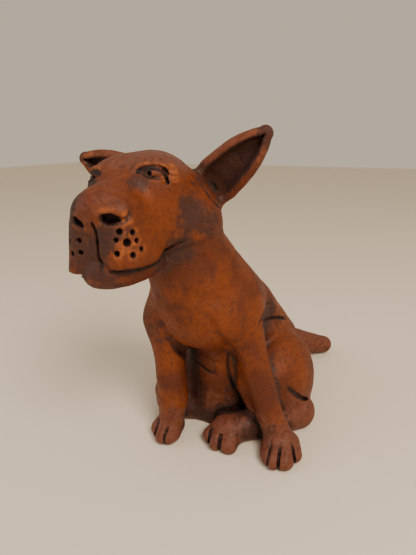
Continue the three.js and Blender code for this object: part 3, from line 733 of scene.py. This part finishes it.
def read_rows(mesh, name):
    """A vector that every vertex has, one a row."""
    rows = np.empty(len(mesh.vertices) * 3, np.float32)
    mesh.vertices.foreach_get(name, rows)
    return rows.reshape(-1, 3)


# The surface of hand-modelled clay, in the mesh itself: low lumps from the fingers, dents from
# the sponge and shallow strokes of the tool, each by its size and its height in millimetres.

HAND_MARKS = ((26, 0.55, (1, 1, 1)), (9, 0.22, (1, 1, 1)), (4.5, 0.16, (1, 1, 0.35)))


def rough(places):
    heights = np.zeros(len(places), np.float32)
    for size, height, stretch in HAND_MARKS:
        shrunk = places * (np.array(stretch, np.float32) / size)
        heights += height * np.array([noise.noise(place) for place in shrunk.tolist()], np.float32)
    return heights


def model_by_hand(piece):
    """Hand marks are moved into the skin, but never under the table."""
    mesh = piece.data
    places = read_rows(mesh, "co")
    off_table = np.clip(places[:, 2] / 3, 0, 1)
    places += read_rows(mesh, "normal") * (rough(places) * off_table)[:, None]
    places[:, 2] = np.maximum(places[:, 2], 0)
    mesh.vertices.foreach_set("co", places.ravel())
    mesh.update()


# The wash: brushed on and wiped off, so it stays in the hollows and in a few smudges. Its
# colours also paint shade: darker in the recesses and in some smudges, where shade falls.

def ramp(values, low, high):
    share = np.clip((values - low) / (high - low), 0, 1)
    return share * share * (3 - 2 * share)


def hollowness(form, places, normals, reach):
    """How much nearer than in the open the clay is, at a given reach straight out of the skin."""
    rise = form(places + normals * reach) - form(places)
    return np.clip(1 - rise / reach, 0, 1)


# Where the wash was left in smudges, and where shade is painted as smudges on the neck, behind
# the left shoulder and on the upper right foreleg: a place in millimetres, a radius and a strength.
# The first ones are in the head's own frame.
HEAD_SMUDGES_AND_PAINTED_SHADE = (
    (40, 19, 7, 9, 0.6), (44, 7, 2, 10, 0.7), (41, 15, -1, 9, 0.7), (45, 7, -6, 9, 0.7),
    (50, -8, -6, 9, 0.5), (38, 18, -10, 9, 0.5), (50, -13, -14, 9, 0.4), (46, 4, -12, 9, 0.6),
    (16, 47, 27, 7, 0.6), (21, 48, 22, 8, 0.5), (16, 58, 23, 7, 0.35), (23, 43, 27, 6, 0.4),
    (12, 81, -4, 9, 0.9), (9, 81, -14, 8, 0.8), (16, 80, -1, 6, 0.6), (-14, 80, -8, 13, 0.85),
    (-12, 80, -22, 12, 0.6),
    (24, 74, -4, 7, 0.4), (2, 84, 14, 8, 0.3), (30, 62, 2, 7, 0.25),
    (27, 21, -26, 9, 0.9), (34, 14, -24, 9, 0.8), (26, 15, -34, 10, 0.8), (20, 22, -36, 10, 0.8),
    (35, 9, -34, 8, 0.5), (23, 40, -36, 8, 0.7), (48, -3, -21, 8, 0.35), (30, 0, -36, 9, 0.5),
    (0, 82, -14, 9, 0.7), (-6, 82, -22, 9, 0.6), (4, 82, -28, 7, 0.5), (0, 78, -36, 9, 0.7),
    (10, 74, -38, 9, 0.6), (-12, 74, -38, 9, 0.6),
)
BODY_SMUDGES_AND_PAINTED_SHADE = (
    (32, 10, 122, 9, 0.9), (30, 20, 133, 7, 0.7), (30, 33, 120, 11, 0.9), (29, 43, 125, 8, 0.7),
    (30, 29, 113, 10, 0.9), (33, 51, 110, 8, 0.5),
    (29, 25, 102, 9, 0.8), (34, 4, 128, 9, 0.7), (33, 60, 104, 8, 0.4),
    (-49, -44, 109, 8, 0.5), (-48, -47, 126, 8, 0.5), (-60, -44, 137, 8, 0.4), (-42, -47, 59, 6, 0.2),
    (-30, -12, 18, 11, 0.9), (-38, -6, 32, 9, 0.8), (-34, -8, 52, 8, 0.6), (-36, -4, 66, 8, 0.5),
    (3, -4, 47, 8, 0.6), (0, -6, 34, 8, 0.5), (-11, -11, 12, 11, 0.8), (-24, -14, 8, 9, 0.8),
    (32, -19, 20, 10, 0.7), (20, -21, 27, 7, 0.4), (6, -44, 13, 7, 0.45), (25, -32, 14, 8, 0.5),
    (60, -24, 33, 7, 0.5), (52, -25, 32, 6, 0.4), (55, -27, 21, 8, 0.4), (66, -30, 16, 7, 0.3),
    (-40, -49, 32, 7, 0.35), (-50, -50, 22, 7, 0.3), (24, -22, 105, 6, 0.3),
    (-6, -53, 154, 9, 0.2), (7, -43, 147, 7, 0.2), (-21, -55, 143, 9, 0.2), (-10, -55, 176, 9, 0.35),
    (38, -5, 294, 13, 0.9), (30, -6, 288, 9, 0.4), (-134, -36, 274, 10, 0.6),
    (-57, -40, 118, 10, 0.5), (50, 7, 60, 8, 0.2), (5, -42, 172, 8, 0.25), (-40, -56, 160, 9, 0.3),
)


def smudge_and_shade_at(places):
    """How thick the smudges and the painted shade lie at a place, from 0 to 1."""
    spots = [(np.array(SKULL_AT) + HEAD_AXES @ np.array(spot[:3]), *spot[3:]) for spot in HEAD_SMUDGES_AND_PAINTED_SHADE]
    spots += [(np.array(spot[:3]), *spot[3:]) for spot in BODY_SMUDGES_AND_PAINTED_SHADE]
    clean = np.ones(len(places), np.float32)
    for centre, radius, strength in spots:
        apart = length_of(places - centre.astype(np.float32)) / radius
        clean *= 1 - strength * np.exp(-apart * apart)
    return 1 - clean


def in_ears(places):
    """The dished fronts of the ears, where the wash was left thick."""
    share_in = np.zeros(len(places), np.float32)
    for root, tip, front in EARS:
        to_ear, reach = ear_view(root, tip, front)
        a, s, d = to_ear(places)
        share = np.clip(a / reach, 0, 1)
        half = ear_half_width(share)
        from_rim = ramp(half - EAR_RIM * 0.5 - np.abs(s), 0, 4)
        from_ends = ramp(a, 4, 14) * ramp(0.93 * reach - a, 0, 8)
        on_front = ramp(cupped(share, s, half, d), -6, -2)
        share_in = np.maximum(share_in, from_rim * from_ends * on_front)
    return share_in


def in_creases(places):
    """How deep in a thin line a place is."""
    in_head = (places - np.array(SKULL_AT, np.float32)) @ HEAD_AXES.astype(np.float32)
    depths = [cut(in_head) for cut in face_lines()] + [cut(places) for cut in body_lines()]
    return ramp(np.max(depths, axis=0), 0.7, 2)


def redness(places):
    """The clay is redder on the feet, the tail, the nose and the top of the head."""
    nose = np.array(SKULL_AT) + HEAD_AXES @ np.array((0, 76, 12))
    near_nose = np.exp(-(length_of(places - nose.astype(np.float32)) / 26) ** 2)
    low_down = 1 - ramp(places[:, 2], 20, 62)
    on_top = ramp(places[:, 2], 256, 276)
    at_back = ramp(places[:, 1], 110, 150)
    return 1 - (1 - low_down) * (1 - 0.9 * on_top) * (1 - 0.6 * near_nose) * (1 - at_back)


# How far apart, in millimetres, the skin is compared with itself to find hollows and rubbed ridges.
# The hollows take the wash and also painted shade.
FINE, MIDDLE, BROAD = 2.5, 8, 24
WORN_DEPTH = 4


def finish_values(form, places, normals):
    """What the material is told of every vertex, by name."""
    fine = hollowness(form, places, normals, FINE)
    middle = hollowness(form, places, normals, MIDDLE)
    broad = hollowness(form, places, normals, BROAD)
    worn = -(form(places - normals * WORN_DEPTH) - form(places)) / WORN_DEPTH
    # Hollowness darkens the skin by how shut in it is: oxide wash in the hollows, and painted shade where
    # recesses fall in shade.
    open_near = (1 - ramp(fine, 0.12, 0.55)) * (1 - ramp(middle, 0.2, 0.75))
    hollow = 1 - open_near * (1 - 0.6 * ramp(broad, 0.35, 0.95))
    dished = in_ears(places)
    creased = in_creases(places)
    # The darkest coat: thick oxide wash in the deep hollows, the ear dishes and the lines, and painted shade
    # in the deep recesses.
    deep = np.maximum(ramp(fine, 0.3, 0.8), ramp(middle, 0.5, 0.95))
    return {
        "wash_and_painted_shade": np.max([hollow, dished, creased], axis=0),
        "depth": np.max([deep, 0.42 * dished, 0.7 * creased], axis=0),
        "smudge_and_painted_shade": smudge_and_shade_at(places),
        "worn": ramp(1 - worn, 0.15, 0.6) * ramp(places[:, 2], 30, 70),
        "red": redness(places),
    }


def note_finish(piece, form):
    """Writes the finish on the vertices, where the material reads it."""
    mesh = piece.data
    values = finish_values(form, read_rows(mesh, "co"), read_rows(mesh, "normal"))
    for name, amounts in values.items():
        attribute = mesh.attributes.new(name, "FLOAT", "POINT")
        attribute.data.foreach_set("value", amounts.astype(np.float32))


def move_into_frame(piece):
    """From the modeller's millimetres to the solid's frame: the boxes share a middle and a base."""
    mesh = piece.data
    places = read_rows(mesh, "co") / 1000
    low, high = (np.array(corner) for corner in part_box("dog"))
    middle = (places.min(axis=0) + places.max(axis=0)) / 2
    shift = (low + high) / 2 - middle
    shift[2] = low[2] - places[:, 2].min()
    mesh.vertices.foreach_set("co", (places + shift).ravel())
    mesh.update()
    return shift


# The clay's finish.

def linear(hex_colour):
    """An sRGB hex colour as the linear colour that the shader takes."""
    channels = [int(hex_colour[place:place + 2], 16) / 255 for place in (1, 3, 5)]
    curve = [c / 12.92 if c <= 0.04045 else ((c + 0.055) / 1.055) ** 2.4 for c in channels]
    return (*curve, 1)


def add_node(tree, kind, settings=None, inputs=None):
    """A node with its settings by name, and its inputs, each a value or a socket to link."""
    node = tree.nodes.new(kind)
    for name, value in (settings or {}).items():
        setattr(node, name, value)
    for name, source in (inputs or {}).items():
        if isinstance(source, bpy.types.NodeSocket):
            tree.links.new(source, node.inputs[name])
        else:
            node.inputs[name].default_value = source
    return node


# What is seen of the real piece: a bare orange clay that fires redder in places and shows paler
# where hands have rubbed it, under a brown-black oxide wash that was wiped off the high places.
# The wash colours also stand for shade: painted shade in the hollows, the deep recesses and some
# smudges.
CLAY_ORANGE = "#75340A"
CLAY_DEEP = "#56230A"
CLAY_RED = "#6E3D2B"
CLAY_RUBBED = "#964F22"
# The wash colours below are oxide wash, and also painted shade in the hollows, the deep recesses and some
# smudges.
WASH_THIN_AND_PAINTED_SHADE = "#3E2620"
# The grey of the smudges: wash smudges, and painted shade on the neck, behind the left shoulder and on the
# upper right foreleg.
WASH_GREY_AND_PAINTED_SHADE = "#352321"
# The darkest wash: on the specks, and painted shade in the deep recesses.
DARK_WASH_AND_PAINTED_SHADE = "#170D0C"
WASH_STREAK = "#4F2210"


def per_metre(millimetres):
    """The scale of a pattern whose features are of the given size."""
    return 1000 / millimetres


# Noise patterns by name: feature size in millimetres, detail and distortion. The real clay's grain
# is about 0.3 mm: it is drawn coarser, at the least size a pixel shows.
PATTERNS = {
    "patches": (45, 3, 0.6),
    "mottle": (13, 5, 1.2),
    "strokes": (3.2, 4, 0.4),
    "grain": (1.1, 3, 0),
    "specks": (2.6, 2, 0.5),
}
WANDER_SIZE = 40
WANDER_REACH = (0.03, 0.03, 0.03)
STROKE_SQUEEZE = (1, 0.35, 0.6)

# Each level adds up patterns, vertex values and earlier levels, each times its weight. Where a span
# is given, the sum is then stretched from its first two values to its last two.
LEVELS = {
    "red_drift": ({"mottle": 1}, (0.3, 0.7, -0.35, 0.35)),
    "rub_drift": ({"mottle": 1}, (0.3, 0.6, 0, 1)),
    "mottle_break": ({"mottle": 1}, (0.3, 0.7, -0.22, 0.22)),
    "stroke_break": ({"strokes": 1}, (0.3, 0.7, -0.2, 0.2)),
    "broken": ({"mottle_break": 1, "stroke_break": 1}, None),
    "deep_clay": ({"patches": 1}, (0.35, 0.65, 0, 1)),
    "red_clay": ({"red": 1, "red_drift": 1}, (0.25, 0.9, 0, 1)),
    # Smudges: wash smudges, and painted shade where shade falls on the neck and the shoulders.
    "smudges_and_painted_shade": ({"smudge_and_painted_shade": 1.35, "broken": 1}, (0.2, 1, 0, 0.88)),
    # Thin wash: oxide wash in the hollows, and painted shade in the recesses.
    "thin_wash_and_painted_shade": ({"wash_and_painted_shade": 1, "broken": 0.8}, (0.15, 0.75, 0, 0.9)),
    # Thick wash: oxide wash in the deep hollows and lines, and painted shade in the deep recesses.
    "thick_wash_and_painted_shade": ({"depth": 1, "broken": 0.4}, (0.1, 0.7, 0, 1)),
    "streaks": ({"strokes": 0.7, "grain": 0.3}, (0.43, 0.66, 0, 0.6)),
    "dark_specks": ({"specks": 1}, (0.64, 0.76, 0, 0.6)),
    "speck_pits": ({"specks": 1}, (0.6, 0.74, 0, 0.5)),
    "heights": ({"strokes": 0.6, "grain": 0.25, "speck_pits": -1}, None),
    "roughness": ({"mottle": 1}, (0.3, 0.7, 0.5, 0.72)),
}

# What lies over the orange clay, from the lowest coat to the highest. The smudge coat and the
# thin and thick wash are also painted shade, in some smudges, the hollows and the deep recesses.
COATS = (
    ("deep_clay", CLAY_DEEP), ("red_clay", CLAY_RED), ("rubbed", CLAY_RUBBED),
    ("smudges_and_painted_shade", WASH_GREY_AND_PAINTED_SHADE), ("thin_wash_and_painted_shade", WASH_THIN_AND_PAINTED_SHADE), ("thick_wash_and_painted_shade", DARK_WASH_AND_PAINTED_SHADE),
    ("streaks", WASH_STREAK), ("dark_specks", DARK_WASH_AND_PAINTED_SHADE),
)


def stroke_places(tree, place):
    """Places for brush strokes: long and thin, and bent by a slow wander of the hand."""
    size = {"Vector": place, "Scale": per_metre(WANDER_SIZE)}
    wander = add_node(tree, "ShaderNodeTexNoise", None, size).outputs["Color"]
    bent = add_node(
        tree, "ShaderNodeVectorMath", {"operation": "MULTIPLY_ADD"},
        {0: wander, 1: WANDER_REACH, 2: place},
    ).outputs["Vector"]
    return add_node(
        tree, "ShaderNodeVectorMath", {"operation": "MULTIPLY"}, {0: bent, 1: STROKE_SQUEEZE},
    ).outputs["Vector"]


def sources(tree):
    """The noise patterns and the values noted on the vertices, by name."""
    place = add_node(tree, "ShaderNodeTexCoord").outputs["Object"]
    along = stroke_places(tree, place)
    found = {}
    for name, (millimetres, detail, distortion) in PATTERNS.items():
        inputs = {
            "Vector": along if name == "strokes" else place,
            "Scale": per_metre(millimetres), "Detail": detail, "Distortion": distortion,
        }
        found[name] = add_node(tree, "ShaderNodeTexNoise", None, inputs).outputs["Fac"]
    for name in ("wash_and_painted_shade", "depth", "smudge_and_painted_shade", "worn", "red"):
        found[name] = add_node(tree, "ShaderNodeAttribute", {"attribute_name": name}).outputs["Fac"]
    return found


def levels_of(tree, found):
    """Every level by name, beside what it was found from."""
    levels = dict(found)
    for name, (weights, span) in LEVELS.items():
        total = 0
        for source, weight in weights.items():
            numbers = {0: levels[source], 1: weight, 2: total}
            settings = {"operation": "MULTIPLY_ADD"}
            total = add_node(tree, "ShaderNodeMath", settings, numbers).outputs["Value"]
        if span:
            ends = dict(zip(("From Min", "From Max", "To Min", "To Max"), span))
            settings = {"interpolation_type": "SMOOTHSTEP"}
            inputs = {"Value": total, **ends}
            total = add_node(tree, "ShaderNodeMapRange", settings, inputs).outputs["Result"]
        levels[name] = total
    return levels


def terracotta():
    """Matte unglazed terracotta with an oxide wash, brushed and wiped by hand, and painted shade in its
    hollows, its deep recesses and some smudges.
    """
    material = bpy.data.materials.new("unglazed_terracotta_with_oxide_wash_and_painted_shade")
    material.use_nodes = True
    tree = material.node_tree
    levels = levels_of(tree, sources(tree))
    levels["rubbed"] = add_node(
        tree, "ShaderNodeMath", {"operation": "MULTIPLY"},
        {0: levels["worn"], 1: levels["rub_drift"]},
    ).outputs["Value"]
    colour = linear(CLAY_ORANGE)
    for name, coat in COATS:
        layers = {0: levels[name], 6: colour, 7: linear(coat)}
        colour = add_node(tree, "ShaderNodeMix", {"data_type": "RGBA"}, layers).outputs[2]
    relief = {"Strength": 0.7, "Distance": 0.001, "Height": levels["heights"]}
    bump = add_node(tree, "ShaderNodeBump", None, relief)
    shader = tree.nodes["Principled BSDF"]
    tree.links.new(colour, shader.inputs["Base Color"])
    tree.links.new(levels["roughness"], shader.inputs["Roughness"])
    tree.links.new(bump.outputs["Normal"], shader.inputs["Normal"])
    shader.inputs["Specular IOR Level"].default_value = 0.3
    return material


# The stage: a plain pale floor, soft light and the photograph's camera.

CAMERA_AT = (0.15602, -0.33609, 0.2887)
CAMERA_HEADING = (-0.469, 0.883)
CAMERA_PITCH_DOWN = 18.52
CAMERA_ROLL = 0.57
FOCAL_PIXELS = 417
FRAME_PIXELS = 555
SENSOR_WIDTH = 36
NEAR_CLIP = 0.01
LIGHTS_AIM = (0, 0, 0.15)
WALL_COLOUR = "#E6D6BE"
WALL_STRENGTH = 0.76
FLOOR_COLOUR = "#EFE1CD"
FLOOR_ROUGHNESS = 0.8
FLOOR_HALF = 4


def camera(shift):
    """The photograph's camera, carried along with the dog."""
    data = bpy.data.cameras.new("camera")
    data.sensor_width = SENSOR_WIDTH
    data.lens = FOCAL_PIXELS / FRAME_PIXELS * SENSOR_WIDTH
    data.clip_start = NEAR_CLIP
    eye = bpy.data.objects.new("camera", data)
    bpy.context.scene.collection.objects.link(eye)
    pitch = math.radians(CAMERA_PITCH_DOWN)
    heading = Vector((*CAMERA_HEADING, 0)).normalized()
    ahead = heading * math.cos(pitch) - Vector((0, 0, math.sin(pitch)))
    level_right = ahead.cross(Vector((0, 0, 1))).normalized()
    level_up = level_right.cross(ahead)
    roll = math.radians(CAMERA_ROLL)
    right = level_right * math.cos(roll) - level_up * math.sin(roll)
    up = level_right * math.sin(roll) + level_up * math.cos(roll)
    axes = Matrix((right, up, -ahead)).transposed()
    place = Vector(CAMERA_AT) + Vector((shift[0], shift[1], 0))
    eye.matrix_world = Matrix.Translation(place) @ axes.to_4x4()
    bpy.context.scene.camera = eye


def area_light(name, place, size, watts, colour):
    data = bpy.data.lights.new(name, "AREA")
    data.shape = "DISK"
    data.size = size
    data.energy = watts
    data.color = linear(colour)[:3]
    lamp = bpy.data.objects.new(name, data)
    lamp.location = place
    aim = Vector(LIGHTS_AIM) - Vector(place)
    lamp.rotation_euler = aim.to_track_quat("-Z", "Y").to_euler()
    bpy.context.scene.collection.objects.link(lamp)


def studio():
    world = bpy.data.worlds.new("studio")
    world.use_nodes = True
    background = world.node_tree.nodes["Background"]
    background.inputs["Color"].default_value = linear(WALL_COLOUR)
    background.inputs["Strength"].default_value = WALL_STRENGTH
    bpy.context.scene.world = world
    area_light("window", (0.9, -0.7, 1.3), 0.7, 22, "#FFF4E6")
    area_light("fill", (-1.2, -1.0, 0.9), 1.2, 6, "#E8EEFF")


def floor():
    mesh = bpy.data.meshes.new("floor")
    half = FLOOR_HALF
    corners = [(-half, -half, 0), (half, -half, 0), (half, half, 0), (-half, half, 0)]
    mesh.from_pydata(corners, [], [(0, 1, 2, 3)])
    slab = bpy.data.objects.new("floor", mesh)
    bpy.context.scene.collection.objects.link(slab)
    material = bpy.data.materials.new("plain_pale_floor")
    material.use_nodes = True
    shader = material.node_tree.nodes["Principled BSDF"]
    shader.inputs["Base Color"].default_value = linear(FLOOR_COLOUR)
    shader.inputs["Roughness"].default_value = FLOOR_ROUGHNESS
    mesh.materials.append(material)


SCULPT_LOW = (-160, -150, -8)
SCULPT_HIGH = (100, 230, 312)

form = dog_form()
points, quads = mesh_of(form, SCULPT_LOW, SCULPT_HIGH)
dog = clay_object("terracotta_dog", points, quads)
thin_out(dog)
model_by_hand(dog)
note_finish(dog, form)
shift = move_into_frame(dog)
for polygon in dog.data.polygons:
    polygon.use_smooth = True
dog.data.materials.append(terracotta())
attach(dog, "root")
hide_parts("dog")
floor()
studio()
camera(shift)
print("triangles", sum(len(p.vertices) - 2 for p in dog.data.polygons), "shift", shift * 1000)
